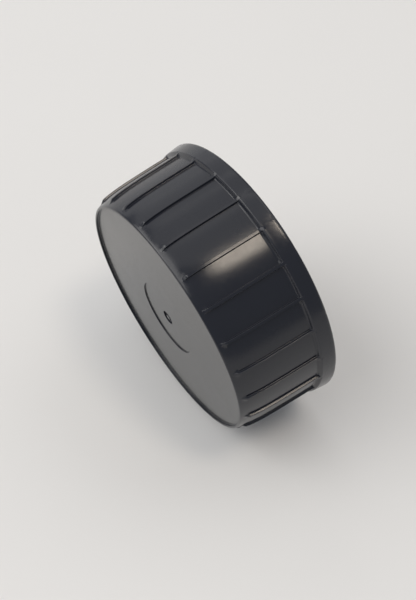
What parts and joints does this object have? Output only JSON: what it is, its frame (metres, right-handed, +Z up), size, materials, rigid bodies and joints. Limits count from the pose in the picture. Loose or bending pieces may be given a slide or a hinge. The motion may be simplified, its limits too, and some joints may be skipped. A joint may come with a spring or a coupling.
{
  "type": "rock tumbler barrel lid",
  "caption": "Round screw-on lid for a rock tumbler barrel: ribbed black side wall, flared open rim, inside thread and a lift-out inner lid with a rubber ring.",
  "frame": {"origin": "middle of the footprint box on the surface that the lid lies on", "axes": "+Z up; the closed end faces -Y and the open mouth faces +Y, with the lid's own axis tipped 5.6 degrees so that the closed end dips"},
  "size_m": [0.1102, 0.0504, 0.1097],
  "materials": {
    "black_plastic": "satin moulded black polypropylene",
    "pale_plastic": "waxy natural polyethylene",
    "rubber": "matt dark grey rubber"
  },
  "bodies": {
    "lid": {"lid_shell": "black_plastic"},
    "inner_lid": {"pressure_disc": "pale_plastic", "seal_ring": "rubber"}
  },
  "joints": [
    {"name": "inner_lid_lift_out", "type": "slide", "parent": "lid", "child": "inner_lid", "axis": [0, 0.9952, 0.0983], "range_m": [0, 0.05]}
  ]
}
